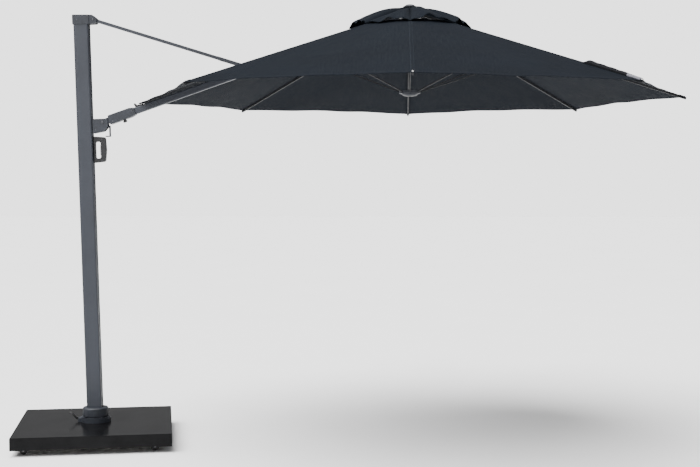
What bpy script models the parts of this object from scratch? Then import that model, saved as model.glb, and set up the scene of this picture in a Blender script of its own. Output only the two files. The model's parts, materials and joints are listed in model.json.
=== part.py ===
"""Cantilever patio umbrella on a wheeled, ballasted base.

Lengths are metres, angles in the constants are degrees, +Z is up.  Every piece is modelled in a frame
of its own (an empty on its joint's axis), and the frames are chained as the real object's pieces are.
"""
import math

import bmesh
import bpy
from mathutils import Vector

for old in list(bpy.data.objects):
    bpy.data.objects.remove(old, do_unlink=True)

# ---------------------------------------------------------------- driving dimensions
GAP = 0.0004                 # clearance between pieces that touch

BASE_SIDE = 0.98             # square base cover
BASE_YAW = 11.0              # the mast is turned this far on its base
BASE_BOTTOM = 0.040
BASE_TOP = 0.118
SHEET = 0.003                # sheet steel of the cover
FRAME_SIDE = 0.93
FRAME_BAR = 0.050
FRAME_Z = 0.0640             # underside of the steel frame
FRAME_HEIGHT = 0.0130
SLAB_SIDE = 0.440
MOUNT_BOX = 0.200            # steel box under the mast foot

CASTER_INSET = 0.090
WHEEL_RADIUS = 0.0240
WHEEL_WIDTH = 0.018
CASTER_TRAIL = 0.016

FLANGE_RADIUS = 0.092
BOLT_CIRCLE = 0.078
BOLT_RADIUS = 0.0050
COLLAR_RADIUS = 0.082
FOOT_HEIGHT = 0.095

MAST_X = 0.098               # mast section, along the boom
MAST_Y = 0.066               # mast section, across the boom
MAST_WALL = 0.0025
MAST_LENGTH = 2.635          # from the base's top to the top of the cap
RAKE = 1.564                 # lean of the mast away from the canopy
GROOVE_WIDTH = 0.014
GROOVE_DEPTH = 0.014

NOSE_HALF = 0.0310           # half the width of the cap's slotted nose
STAY_PIN_RADIUS = 0.0050
BOOM_PIN_RADIUS = 0.0055
STAY_PIVOT = (0.080, 2.600)  # offset from the mast's axis, distance up the mast
BOOM_PIVOT = (0.118, 1.9405)
STAY_SLOPE = 17.2            # down from the mast
BOOM_SLOPE = 19.2            # up from the mast
STAY_HEIGHT = 0.020
STAY_WIDTH = 0.030
BOOM_HEIGHT = 0.044
BOOM_WIDTH = 0.034
NOSE_WIDTH = 0.0180          # flat end of the boom in the hub
HOUSING_HALF_Y = 0.026       # half the width of the boom's housing and of its bracket
TONGUE_HALF_Y = 0.0195       # half the width of the housing's tongue in the bracket
FORK_LENGTH = 0.220
COLLAR_BORE = 0.0290
COLLAR_WALL = 0.0045
TRUNNION_RADIUS = 0.0050

HUB_X = 2.043
HUB_HINGE = 0.060            # rib hinges, from the hub's axis
CANOPY_RADIUS = 1.750        # across two opposite corners it is twice this
RIB_SLOPE = 17.7
RIB_COUNT = 8                # the boom stands where the eighth rib would
STRUT_LENGTH = 0.790         # equal to the strut hinge's place along the rib
STRUT_EYE_WIDTH = 0.0044     # a strut is this thin at both its ends
RIB_HEIGHT = 0.014
RIB_WIDTH = 0.010
CLOTH = 0.0012
CLOTH_RISE = 0.0225          # cloth above the line of the rib hinges
VENT_RADIUS = 0.300
FLAP_RADIUS = 0.390
FLAP_BORE = 0.024
FLAP_RISE = 0.020
SCALLOP = 0.045              # how much shorter the cloth is at the middle of a panel
CORNER_DROP = 0.032          # how much lower the canopy's corner on the boom hangs than the others

# ---------------------------------------------------------------- derived places
BOOM_RISE = math.tan(math.radians(BOOM_SLOPE))
STAY_FALL = math.tan(math.radians(STAY_SLOPE))
HALF_PANEL = math.pi / RIB_COUNT


def on_mast(offset, distance):
    """The place of a point beside the raked mast's axis, at a distance up the mast."""
    lean = math.radians(RAKE)
    x = offset * math.cos(lean) - distance * math.sin(lean)
    return Vector((x, 0, BASE_TOP + offset * math.sin(lean) + distance * math.cos(lean)))


P1 = on_mast(*STAY_PIVOT)
P2 = on_mast(*BOOM_PIVOT)
P3_X = (P1.z - P2.z + STAY_FALL * P1.x + BOOM_RISE * P2.x) / (STAY_FALL + BOOM_RISE)
P3 = Vector((P3_X, 0, P2.z + BOOM_RISE * (P3_X - P2.x)))
STAY_LENGTH = (P3 - P1).length
BOOM_TO_STAY = (P3 - P2).length
BOOM_LENGTH = (HUB_X - HUB_HINGE - P2.x) / math.cos(math.radians(BOOM_SLOPE))
HUB_Z = P2.z + BOOM_RISE * (HUB_X - HUB_HINGE - P2.x)
RIB_LENGTH = (CANOPY_RADIUS - HUB_HINGE) / math.cos(math.radians(RIB_SLOPE))
RUNNER_DROP = 2 * STRUT_LENGTH * math.sin(math.radians(RIB_SLOPE))
YAW = math.radians(BASE_YAW)
BASE_REACH = BASE_SIDE / 2 * (math.cos(YAW) + math.sin(YAW))
CENTRE_X = (HUB_X + CANOPY_RADIUS - BASE_REACH) / 2   # middle of the whole object's length


# ---------------------------------------------------------------- materials
def material(name, colour, roughness, metallic=0.0):
    made = bpy.data.materials.new(name)
    made.use_nodes = True
    shader = made.node_tree.nodes["Principled BSDF"]
    shader.inputs["Base Color"].default_value = (*colour, 1.0)
    shader.inputs["Roughness"].default_value = roughness
    shader.inputs["Metallic"].default_value = metallic
    return made


GLOSS_BLACK = material("gloss_black", (0.012, 0.012, 0.013), 0.15)
SLATE = material("slate_paint", (0.075, 0.082, 0.100), 0.42)
DARK_PLASTIC = material("dark_plastic", (0.022, 0.024, 0.030), 0.45)
BLACK_PLASTIC = material("black_plastic", (0.010, 0.010, 0.011), 0.5)
STEEL = material("steel", (0.45, 0.45, 0.46), 0.35, 1.0)
STONE = material("stone", (0.25, 0.24, 0.23), 0.9)
RUBBER = material("rubber", (0.02, 0.02, 0.02), 0.8)
CLOTH_NAVY = material("cloth", (0.022, 0.030, 0.043), 0.85)


# ---------------------------------------------------------------- frames and mesh tools
def frame(name, location, turn_y=0.0, turn_z=0.0, parent=None):
    """An empty on a joint's axis; its local +X, +Y and +Z are the piece's own."""
    empty = bpy.data.objects.new(name, None)
    empty.location = location
    empty.rotation_euler = (0.0, turn_y, turn_z)
    empty.parent = parent
    bpy.context.collection.objects.link(empty)
    return empty


def piece(name, bm, parent, finish=None, smooth=True):
    """Turn a bmesh into a named object in a frame."""
    bmesh.ops.recalc_face_normals(bm, faces=bm.faces)
    mesh = bpy.data.meshes.new(name)
    bm.to_mesh(mesh)
    bm.free()
    if smooth:
        mesh.shade_smooth()
        mesh.set_sharp_from_angle(angle=math.radians(35))
    obj = bpy.data.objects.new(name, mesh)
    obj.parent = parent
    bpy.context.collection.objects.link(obj)
    if finish is not None:
        mesh.materials.append(finish)
    return obj


def combine(obj, tool, operation):
    """Cut a hidden tool from a piece, or add it."""
    tool.hide_render = True
    tool.display_type = "WIRE"
    modifier = obj.modifiers.new(tool.name, "BOOLEAN")
    modifier.operation = operation
    modifier.solver = "EXACT"
    modifier.object = tool


def cut(obj, bm, name="cutter"):
    combine(obj, piece(f"{name}_{obj.name}", bm, obj.parent, smooth=False), "DIFFERENCE")


def add(obj, bm, name="adder"):
    combine(obj, piece(f"{name}_{obj.name}", bm, obj.parent, smooth=False), "UNION")


def to_space(axis, a, b, along):
    """A 2-D outline point as 3-D: outlines lie in YZ, XZ or XY and run along the third axis."""
    if axis == "X":
        return (along, a, b)
    if axis == "Y":
        return (a, along, b)
    return (a, b, along)


def extrude(outline, axis, low, high, hole=None, bm=None):
    """A prism of an outline along an axis, with an optional hole of as many points."""
    bm = bm or bmesh.new()
    rings = []
    for points in [outline] + ([hole] if hole else []):
        bottom = [bm.verts.new(to_space(axis, a, b, low)) for a, b in points]
        top = [bm.verts.new(to_space(axis, a, b, high)) for a, b in points]
        count = len(points)
        for i in range(count):
            j = (i + 1) % count
            bm.faces.new((bottom[i], bottom[j], top[j], top[i]))
        rings.append((bottom, top))
    if not hole:
        bm.faces.new(rings[0][0])
        bm.faces.new(rings[0][1])
        return bm
    for level in (0, 1):
        outer, inner = rings[0][level], rings[1][level]
        for i in range(len(outer)):
            j = (i + 1) % len(outer)
            bm.faces.new((outer[i], outer[j], inner[j], inner[i]))
    return bm


def rectangle(a0, a1, b0, b1):
    return [(a0, b0), (a1, b0), (a1, b1), (a0, b1)]


def box(x0, x1, y0, y1, z0, z1, bm=None):
    return extrude(rectangle(x0, x1, y0, y1), "Z", z0, z1, bm=bm)


def rounded(corners, steps=4):
    """An outline with round corners, from (a, b, radius) for each corner."""
    points = []
    count = len(corners)
    for i in range(count):
        here = Vector(corners[i][:2])
        radius = corners[i][2]
        before = (Vector(corners[i - 1][:2]) - here).normalized()
        after = (Vector(corners[(i + 1) % count][:2]) - here).normalized()
        half = before.angle(after) / 2
        if radius <= 0:
            points.append(tuple(here))
            continue
        reach = radius / math.tan(half)
        centre = here + (before + after).normalized() * radius / math.sin(half)
        first = here + before * reach - centre
        sweep = (here + after * reach - centre).angle_signed(first)
        for step in range(steps + 1):
            angle = sweep * step / steps
            x = first.x * math.cos(angle) - first.y * math.sin(angle)
            y = first.x * math.sin(angle) + first.y * math.cos(angle)
            points.append((centre.x + x, centre.y + y))
    return points


def round_rectangle(width, height, radius, steps=3):
    w, h = width / 2, height / 2
    return rounded([(-w, -h, radius), (w, -h, radius), (w, h, radius), (-w, h, radius)], steps)


def circle(radius, count, a=0.0, b=0.0):
    turn = 2 * math.pi / count
    return [(a + radius * math.cos(turn * i), b + radius * math.sin(turn * i)) for i in range(count)]


def rod(axis, radius, low, high, a=0.0, b=0.0, count=20, bm=None):
    return extrude(circle(radius, count, a, b), axis, low, high, bm=bm)


def ring(axis, outer, inner, low, high, count=40, bm=None):
    return extrude(circle(outer, count), axis, low, high, circle(inner, count), bm=bm)


def turned(profile, count=40, bm=None):
    """A solid of revolution about Z of an open profile of (radius, z) that starts and ends at radius 0."""
    bm = bm or bmesh.new()
    rings = []
    for radius, z in profile:
        if radius == 0:
            rings.append([bm.verts.new((0, 0, z))])
        else:
            rings.append([bm.verts.new((x, y, z)) for x, y in circle(radius, count)])
    for low, high in zip(rings, rings[1:]):
        for i in range(count):
            j = (i + 1) % count
            face = [low[i % len(low)], low[j % len(low)], high[j % len(high)], high[i % len(high)]]
            bm.faces.new(list(dict.fromkeys(face)))
    return bm


# ---------------------------------------------------------------- frames
origin = frame("origin", (-CENTRE_X, 0, 0))
base = frame("base", (0, 0, 0), turn_z=YAW, parent=origin)
turntable = frame("mast_turn", (0, 0, BASE_TOP), parent=origin)
mast = frame("mast", (0, 0, BASE_TOP), turn_y=-math.radians(RAKE), parent=origin)
stay = frame("stay_swing", P1, turn_y=math.radians(STAY_SLOPE), parent=origin)
boom = frame("boom_swing", P2, turn_y=-math.radians(BOOM_SLOPE), parent=origin)
carriage = frame("carriage", P2, turn_y=-math.radians(RAKE), parent=origin)
hub = frame("hub_pivot", (HUB_X, 0, HUB_Z), parent=origin)


# ---------------------------------------------------------------- base
QUARTERS = [(-1, -1), (1, -1), (1, 1), (-1, 1)]


def make_base_cover():
    """A folded sheet lid, open below, that hides the ballast."""
    half = BASE_SIDE / 2
    bm = box(-half, half, -half, half, BASE_BOTTOM, BASE_TOP)
    bevelled = [edge for edge in bm.edges if max(v.co.z for v in edge.verts) > BASE_TOP - 1e-6]
    bmesh.ops.bevel(bm, geom=bevelled, offset=0.0025, segments=2, affect="EDGES")
    cover = piece("base_cover", bm, base, GLOSS_BLACK)
    inner = half - SHEET
    cut(cover, box(-inner, inner, -inner, inner, BASE_BOTTOM - 0.02, BASE_TOP - SHEET), "hollow")
    cut(cover, bolt_shanks(BASE_TOP - 0.02, BASE_TOP + 0.02, BOLT_RADIUS + GAP), "bolt_holes")


def bolt_shanks(low, high, radius, turn=0.0):
    """Four upright rods on the bolt circle, to cut the holes for the foot's bolts."""
    bm = bmesh.new()
    for quarter in range(4):
        angle = math.radians(45 + 90 * quarter) + turn
        rod("Z", radius, low, high, BOLT_CIRCLE * math.cos(angle), BOLT_CIRCLE * math.sin(angle), 12, bm)
    return bm


def make_base_frame():
    """A welded steel frame: bars round the edge, a cross, caster plates and the box under the foot."""
    half = FRAME_SIDE / 2
    top = FRAME_Z + FRAME_HEIGHT
    made = piece("base_frame", box(-half, half, -half, half, FRAME_Z, top), base, SLATE)
    near = FRAME_BAR / 2
    far = half - FRAME_BAR
    windows = bmesh.new()
    for sx, sy in QUARTERS:
        x = sorted((sx * near, sx * far))
        y = sorted((sy * near, sy * far))
        box(*x, *y, FRAME_Z - 0.01, top + 0.01, bm=windows)
    cut(made, windows, "windows")
    plates = bmesh.new()
    place = BASE_SIDE / 2 - CASTER_INSET
    for sx, sy in QUARTERS:
        x, y = sx * place, sy * place
        box(x - 0.027, x + 0.027, y - 0.027, y + 0.027, FRAME_Z - 0.003, FRAME_Z + 0.002, bm=plates)
    add(made, plates, "caster_plates")
    side = MOUNT_BOX / 2
    high = BASE_TOP - SHEET - GAP
    add(made, box(-side, side, -side, side, FRAME_Z, high), "mount_box")
    inner = side - 0.005
    cut(made, box(-inner, inner, -inner, inner, FRAME_Z - 0.01, high - 0.008), "mount_hollow")
    cut(made, bolt_shanks(high - 0.02, high + 0.02, BOLT_RADIUS + GAP), "bolt_holes")


def make_ballast():
    """Four slabs on the frame, their inner corners notched round the mount box."""
    low = FRAME_Z + FRAME_HEIGHT + GAP
    high = BASE_TOP - SHEET - 0.002
    start = 0.004
    notch = MOUNT_BOX / 2 + 0.004
    end = start + SLAB_SIDE
    outline = [(notch, start), (end, start), (end, end), (start, end), (start, notch), (notch, notch)]
    for number, (sx, sy) in enumerate(QUARTERS, start=1):
        slab = extrude([(sx * x, sy * y) for x, y in outline], "Z", low, high)
        piece(f"ballast_slab_{number}", slab, base, STONE)


def make_casters():
    """Forks and wheels at the four corners; every fork trails towards the base's -X side."""
    place = BASE_SIDE / 2 - CASTER_INSET
    for number, (sx, sy) in enumerate(QUARTERS, start=1):
        swivel = frame(f"caster_swivel_{number}", (sx * place, sy * place, 0), parent=base)
        make_fork(number, swivel, FRAME_Z - 0.003 - GAP)
        roll = frame(f"caster_roll_{number}", (-CASTER_TRAIL, 0, WHEEL_RADIUS), parent=swivel)
        make_wheel(number, roll)


def make_fork(number, swivel, top):
    """A pressed fork: a bridge, two cheeks and, on the first, a brake tab."""
    half = WHEEL_WIDTH / 2 + 0.0035
    cheek = rounded([(0.014, top, 0.002), (-0.026, top, 0.004), (-CASTER_TRAIL - 0.009, 0.015, 0.004),
                     (-CASTER_TRAIL + 0.009, 0.015, 0.004)], steps=2)
    fork = piece(f"caster_fork_{number}", extrude(cheek, "Y", -half, half), swivel, BLACK_PLASTIC)
    clear = half - 0.0025
    cut(fork, box(-0.06, 0.03, -clear, clear, -0.01, top - 0.004), "wheel_gap")
    if number in (1, 2):
        add(fork, box(-0.040, -0.020, -0.008, 0.008, top - 0.0040, top - 0.0008), "brake")


def make_wheel(number, roll):
    half = WHEEL_WIDTH / 2
    rim = rounded([(half, 0, 0), (half, WHEEL_RADIUS, 0.003), (-half, WHEEL_RADIUS, 0.003), (-half, 0, 0)], 1)
    bm = turned([(radius, z) for z, radius in rim], count=28)
    for vert in bm.verts:
        vert.co = (vert.co.x, vert.co.z, -vert.co.y)
    piece(f"caster_wheel_{number}", bm, roll, RUBBER)


# ---------------------------------------------------------------- rotary foot and pedal
FLANGE_TOP = 0.034           # above the base cover
SEAT_TOP = FLANGE_TOP + 0.004


def make_foot():
    """Flange bolted to the base, thrust ring on it, and the collar that turns with the mast."""
    lobes = bmesh.new()
    extrude(circle(FLANGE_RADIUS, 48), "Z", GAP, FLANGE_TOP, bm=lobes)
    flange = piece("foot_flange", lobes, turntable, DARK_PLASTIC)
    for side in (-1, 1):
        reach = FLANGE_RADIUS + (0.018 if side < 0 else 0.004)
        lobe = rounded([(0, -0.034, 0.004), (side * reach, -0.034, 0.012), (side * reach, 0.034, 0.012),
                        (0, 0.034, 0.004)], steps=3)
        add(flange, extrude(lobe, "Z", GAP, FLANGE_TOP - 0.010), f"lobe_{side + 2}")
    cut(flange, bolt_shanks(-0.01, FLANGE_TOP + 0.01, BOLT_RADIUS + GAP, YAW), "bolt_holes")
    cut(flange, bolt_shanks(0.010, FLANGE_TOP + 0.01, BOLT_RADIUS * 2, YAW), "recesses")
    thrust = ring("Z", 0.060, 0.040, FLANGE_TOP + GAP, SEAT_TOP - GAP, count=32)
    piece("thrust_ring", thrust, turntable, STEEL)


def make_rotary_collar():
    """The collar that holds the mast's foot, with a pocket of the mast's section in it."""
    bottom = SEAT_TOP
    profile = [(0, bottom), (COLLAR_RADIUS, bottom), (COLLAR_RADIUS, FOOT_HEIGHT - 0.006),
               (COLLAR_RADIUS - 0.006, FOOT_HEIGHT), (0, FOOT_HEIGHT)]
    collar = piece("rotary_collar", turned(profile, count=48), turntable, DARK_PLASTIC)
    pocket = round_rectangle(MAST_X + 2 * GAP, MAST_Y + 2 * GAP, 0.010)
    tool = extrude(pocket, "Z", SEAT_TOP + 0.012, FOOT_HEIGHT + 0.05)
    cutter = piece("pocket_rotary_collar", tool, mast, smooth=False)
    combine(collar, cutter, "DIFFERENCE")


def make_pedal():
    """The foot lever that lifts the lock pin, hinged on the flange's left lobe."""
    hinge = frame("pedal_hinge", (-FLANGE_RADIUS - 0.018 - 0.008, 0, 0.020), parent=turntable)
    outline = rounded([(0.006, -0.006, 0.004), (0.006, 0.006, 0.004), (-0.008, 0.010, 0.004),
                       (-0.034, 0.036, 0.006), (-0.056, 0.040, 0.004), (-0.056, 0.033, 0.003),
                       (-0.038, 0.029, 0.006), (-0.012, 0.002, 0.004), (-0.008, -0.006, 0.004)], steps=2)
    pedal = piece("foot_pedal", extrude(outline, "Y", -0.011, 0.011), hinge, BLACK_PLASTIC)
    add(pedal, box(-0.056, -0.040, -0.022, 0.022, 0.0335, 0.0395), "tread")


# ---------------------------------------------------------------- mast
def make_mast():
    """A hollow extrusion with the carriage's groove in its +X face."""
    low = SEAT_TOP + 0.014
    high = MAST_LENGTH - 0.008
    outer = round_rectangle(MAST_X, MAST_Y, 0.010)
    inner = round_rectangle(MAST_X - 2 * MAST_WALL, MAST_Y - 2 * MAST_WALL, 0.008)
    tube = piece("mast_tube", extrude(outer, "Z", low, high, inner), mast, SLATE)
    face = MAST_X / 2
    web = box(face - GROOVE_DEPTH - MAST_WALL, face - MAST_WALL / 2, -GROOVE_WIDTH / 2 - MAST_WALL,
              GROOVE_WIDTH / 2 + MAST_WALL, low, high)
    add(tube, web, "groove_walls")
    half = GROOVE_WIDTH / 2
    groove = box(face - GROOVE_DEPTH, face + 0.01, -half, half, low - 0.01, high + 0.01)
    cut(tube, groove, "groove")
    rail_x = face - GROOVE_DEPTH + GAP
    rail = box(rail_x, rail_x + 0.0025, -0.005, 0.005, 0.35, BOOM_PIVOT[1] + 0.10)
    piece("lock_rail", rail, mast, STEEL, smooth=False)


def make_mast_cap():
    """The head casting: a cup over the mast with a slotted nose that holds the stay's pin."""
    side, top = MAST_X / 2 + 0.004, MAST_LENGTH
    low = MAST_LENGTH - 0.063
    pin_z = STAY_PIVOT[1]
    nose = STAY_PIVOT[0] + 0.026
    outline = rounded([(-side, low, 0.003), (nose - 0.006, low + 0.001, 0.012), (nose, pin_z + 0.004, 0.010),
                       (side + 0.022, top - 0.004, 0.012), (-side, top, 0.006)], steps=3)
    half = MAST_Y / 2 + 0.004
    cap = piece("mast_cap", extrude(outline, "Y", -half, half), mast, DARK_PLASTIC)
    socket = round_rectangle(MAST_X + 2 * GAP, MAST_Y + 2 * GAP, 0.010)
    cut(cap, extrude(socket, "Z", low - 0.01, MAST_LENGTH - 0.008 + GAP), "socket")
    slot = STAY_WIDTH / 2 + 0.001
    cut(cap, box(side + 0.0005, nose + 0.02, -slot, slot, low - 0.02, top + 0.02), "slot")
    for y in (-1, 1):
        far = half + 0.01
        trim = box(side + 0.0005, nose + 0.02, *sorted((y * NOSE_HALF, y * far)), low - 0.02, top + 0.02)
        cut(cap, trim, f"cheek_{y + 2}")
    pin_half = NOSE_HALF + 0.002
    cut(cap, rod("Y", STAY_PIN_RADIUS + GAP, -0.05, 0.05, STAY_PIVOT[0], pin_z), "pin_hole")
    piece("stay_pin", rod("Y", STAY_PIN_RADIUS, -pin_half, pin_half, STAY_PIVOT[0], pin_z), mast, STEEL)


# ---------------------------------------------------------------- stay
def make_stay():
    """A thin tube from the mast's head to the middle of the boom, ending in a fork."""
    h, w = STAY_HEIGHT / 2, STAY_WIDTH / 2
    fork_start = STAY_LENGTH - FORK_LENGTH
    tube_end = fork_start - 0.020
    eye = rounded([(-0.010, -h, 0.0095), (tube_end, -h, 0.001), (tube_end, h, 0.001), (-0.010, h, 0.0095)],
                  steps=3)
    tube = piece("stay_tube", extrude(eye, "Y", -w, w), stay, SLATE)
    cut(tube, rod("Y", STAY_PIN_RADIUS + GAP, -0.05, 0.05), "pin_hole")
    cut(tube, box(0.030, fork_start + 0.01, -w + 0.002, w - 0.002, -h + 0.002, h - 0.002), "hollow")
    ear_in = COLLAR_BORE + COLLAR_WALL + 2 * GAP
    ear_out = ear_in + 0.003
    end = STAY_LENGTH + 0.012
    outline = rounded([(tube_end + GAP, -h, 0.002), (STAY_LENGTH, -h, 0.0), (end, -h, 0.008), (end, h, 0.008),
                       (tube_end + GAP, h, 0.002)], steps=3)
    fork = piece("stay_fork", extrude(outline, "Y", -ear_out, ear_out), stay, SLATE)
    cut(fork, box(fork_start, STAY_LENGTH + 0.05, -ear_in, ear_in, -0.05, 0.05), "gap")
    cut(fork, rod("Y", TRUNNION_RADIUS + GAP, -0.06, 0.06, STAY_LENGTH, 0), "trunnion_holes")


# ---------------------------------------------------------------- carriage and handle
def make_carriage():
    """Bracket, handle and latch rod that run down the mast's groove; local origin on the boom's pin."""
    face = MAST_X / 2 - BOOM_PIVOT[0] + 0.0045
    nose = 0.034
    outline = rounded([(face, -0.070, 0.003), (0.008, -0.058, 0.020), (nose, -0.030, 0.018),
                       (nose, 0.023, 0.010), (face, 0.023, 0.003)], steps=4)
    half = HOUSING_HALF_Y
    bracket = piece("carriage_bracket", extrude(outline, "Y", -half, half), carriage, DARK_PLASTIC)
    gap = TONGUE_HALF_Y + 0.0005
    cut(bracket, box(face + 0.006, 0.06, -gap, gap, -0.10, 0.06), "slot")
    cut(bracket, rod("Y", BOOM_PIN_RADIUS + GAP, -0.05, 0.05), "pin_hole")
    tongue = box(face - 0.0100, face + 0.002, -0.0050, 0.0050, -0.068, 0.020)
    add(bracket, tongue, "runner")
    pin_half = half + 0.0025
    piece("boom_pin", rod("Y", BOOM_PIN_RADIUS, -pin_half, pin_half), carriage, STEEL)
    make_handle(face)


def make_handle(face):
    """A closed loop to grip, with its squeeze trigger and the rod that the trigger pulls down."""
    grip = 0.017
    top, low = -0.089, -0.260
    outline = rounded([(face, top, 0.003), (0.004, top - 0.006, 0.010), (grip - 0.004, top - 0.012, 0.014),
                       (grip, -0.180, 0.06), (grip - 0.008, low + 0.006, 0.014), (face, low, 0.003)], steps=3)
    handle = piece("handle_loop", extrude(outline, "Y", -0.014, 0.014), carriage, BLACK_PLASTIC)
    slot_left = face + 0.011
    slot_right = slot_left + 0.034
    slot_low, slot_high = -0.232, -0.124
    slot = rounded([(slot_left, slot_low, 0.012), (slot_right, slot_low, 0.012),
                    (slot_right, slot_high, 0.012), (slot_left, slot_high, 0.012)], steps=3)
    cut(handle, extrude(slot, "Y", -0.05, 0.05), "finger_gap")
    tongue = box(face - 0.0095, face + 0.002, -0.0050, 0.0050, low + 0.010, top - 0.010)
    add(handle, tongue, "runner")
    middle = (slot_low + slot_high) / 2
    half_y, half_z = 0.0062, 0.0330
    well = box(slot_right - 0.001, slot_right + 0.0080, -half_y - 0.0006, half_y + 0.0006,
               middle - half_z - 0.001, middle + half_z + 0.001)
    cut(handle, well, "trigger_well")
    pull = frame("trigger_pull", (slot_right, 0, middle), parent=carriage)
    piece("trigger", box(-0.0060, 0.0010, -half_y, half_y, -half_z, half_z), pull, STEEL)
    make_release_rod()


def make_release_rod():
    """An upright rod beside the bracket, with a foot over the handle's shoulder."""
    slide = frame("rod_slide", (0.0425, 0, 0), parent=carriage)
    outline = [(-0.005, -0.022), (-0.005, -0.087), (-0.030, -0.087), (-0.030, -0.094), (0.005, -0.094),
               (0.005, -0.022)]
    piece("release_rod", extrude(outline, "Y", -0.005, 0.005), slide, DARK_PLASTIC)


# ---------------------------------------------------------------- boom
HOUSING_START = 0.044
HOUSING_END = 0.222
ROOT_RADIUS = 0.0165
KNOB_X = 0.138


def make_boom_housing():
    """The hinged end of the boom: a tongue on the pin and a bearing that the boom can roll in."""
    half_z, half_y = 0.030, HOUSING_HALF_Y
    body = rounded([(HOUSING_START, -half_z, 0.004), (HOUSING_END - 0.03, -half_z, 0.02),
                    (HOUSING_END, -0.022, 0.003), (HOUSING_END, 0.022, 0.003),
                    (HOUSING_END - 0.03, half_z, 0.02), (HOUSING_START, half_z, 0.010)], steps=3)
    housing = piece("boom_housing", extrude(body, "Y", -half_y, half_y), boom, DARK_PLASTIC)
    tongue = rounded([(-0.018, -0.018, 0.017), (HOUSING_START + 0.01, -0.018, 0.0),
                      (HOUSING_START + 0.01, 0.018, 0.0), (-0.018, 0.018, 0.017)], steps=4)
    add(housing, extrude(tongue, "Y", -TONGUE_HALF_Y, TONGUE_HALF_Y), "tongue")
    cut(housing, rod("Y", BOOM_PIN_RADIUS + GAP, -0.05, 0.05), "pin_hole")
    cut(housing, rod("X", ROOT_RADIUS + GAP, HOUSING_START + 0.020, HOUSING_END + 0.02, count=28), "bearing")
    knob_turn = frame("knob_turn", (KNOB_X, 0, -half_z), parent=boom)
    profile = [(0, -GAP), (0.008, -GAP), (0.008, -0.005), (0.013, -0.006), (0.013, -0.015), (0.010, -0.018),
               (0, -0.018)]
    piece("lock_knob", turned(profile[::-1], count=24), knob_turn, BLACK_PLASTIC)


def make_boom_collar():
    """The ring at the middle of the boom that the stay's fork holds by two trunnions."""
    middle = frame("boom_collar_frame", (BOOM_TO_STAY, 0, 0), parent=boom)
    outer = COLLAR_BORE + COLLAR_WALL
    collar = piece("boom_collar", ring("X", outer, COLLAR_BORE, -0.015, 0.015, count=36), middle, SLATE)
    for side in (-1, 1):
        low, high = sorted((side * (COLLAR_BORE + 0.002), side * (outer + 0.007)))
        add(collar, rod("Y", TRUNNION_RADIUS, low, high), f"trunnion_{side + 2}")
    bush = extrude(circle(COLLAR_BORE - GAP, 36), "X", -0.014, 0.014)
    made = piece("boom_bush", bush, middle, BLACK_PLASTIC)
    half_y, half_z = BOOM_WIDTH / 2 + GAP, BOOM_HEIGHT / 2 + GAP
    cut(made, extrude(rectangle(-half_y, half_y, -half_z, half_z), "X", -0.03, 0.03), "boom_hole")


def make_boom():
    """The boom: a hollow tube with a round root in the housing and a tongue at the hub."""
    start, end = HOUSING_END + 0.001, BOOM_LENGTH - 0.060
    outer = round_rectangle(BOOM_WIDTH, BOOM_HEIGHT, 0.006, steps=2)
    inner = round_rectangle(BOOM_WIDTH - 0.004, BOOM_HEIGHT - 0.004, 0.0045, steps=2)
    tube = piece("boom_tube", extrude(outer, "X", start, end), boom, SLATE)
    add(tube, rod("X", ROOT_RADIUS, HOUSING_START + 0.022, start + 0.01, count=28), "root")
    add(tube, extrude(boom_nose(end), "Y", -NOSE_WIDTH / 2, NOSE_WIDTH / 2), "nose")
    cut(tube, extrude(inner, "X", start + 0.012, end - 0.004), "hollow")
    cut(tube, rod("X", ROOT_RADIUS - 0.003, HOUSING_START, start + 0.03, count=28), "root_hollow")
    corner_x = (HUB_X - CANOPY_RADIUS - P2.x) / math.cos(math.radians(BOOM_SLOPE))
    top = BOOM_HEIGHT / 2 + GAP
    outline = rounded([(corner_x - 0.010, top, 0), (corner_x + 0.050, top, 0),
                       (corner_x + 0.040, top + 0.006, 0.003), (corner_x + 0.004, top + 0.010, 0.004),
                       (corner_x - 0.006, top + 0.026, 0.003), (corner_x - 0.014, top + 0.024, 0.003)],
                      steps=2)
    piece("corner_hook", extrude(outline, "Y", -0.008, 0.008), boom, BLACK_PLASTIC)


def boom_nose(end):
    """Side outline of the boom's last stretch, from the full tube down to the hinge eye."""
    h = BOOM_HEIGHT / 2
    eye = 0.0088
    return rounded([(end - 0.010, -h + 0.001, 0), (end, -h + 0.001, 0), (BOOM_LENGTH - 0.030, -eye, 0.01),
                    (BOOM_LENGTH + eye, -eye, eye - 0.0002), (BOOM_LENGTH + eye, eye, eye - 0.0002),
                    (BOOM_LENGTH - 0.030, eye, 0.01), (end, h - 0.001, 0), (end - 0.010, h - 0.001, 0)],
                   steps=3)


# ---------------------------------------------------------------- hub, ribs, struts, runner
CORE_RADIUS = 0.050
CROWN_RADIUS = 0.069
PLATE_RADIUS = 0.074


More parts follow.
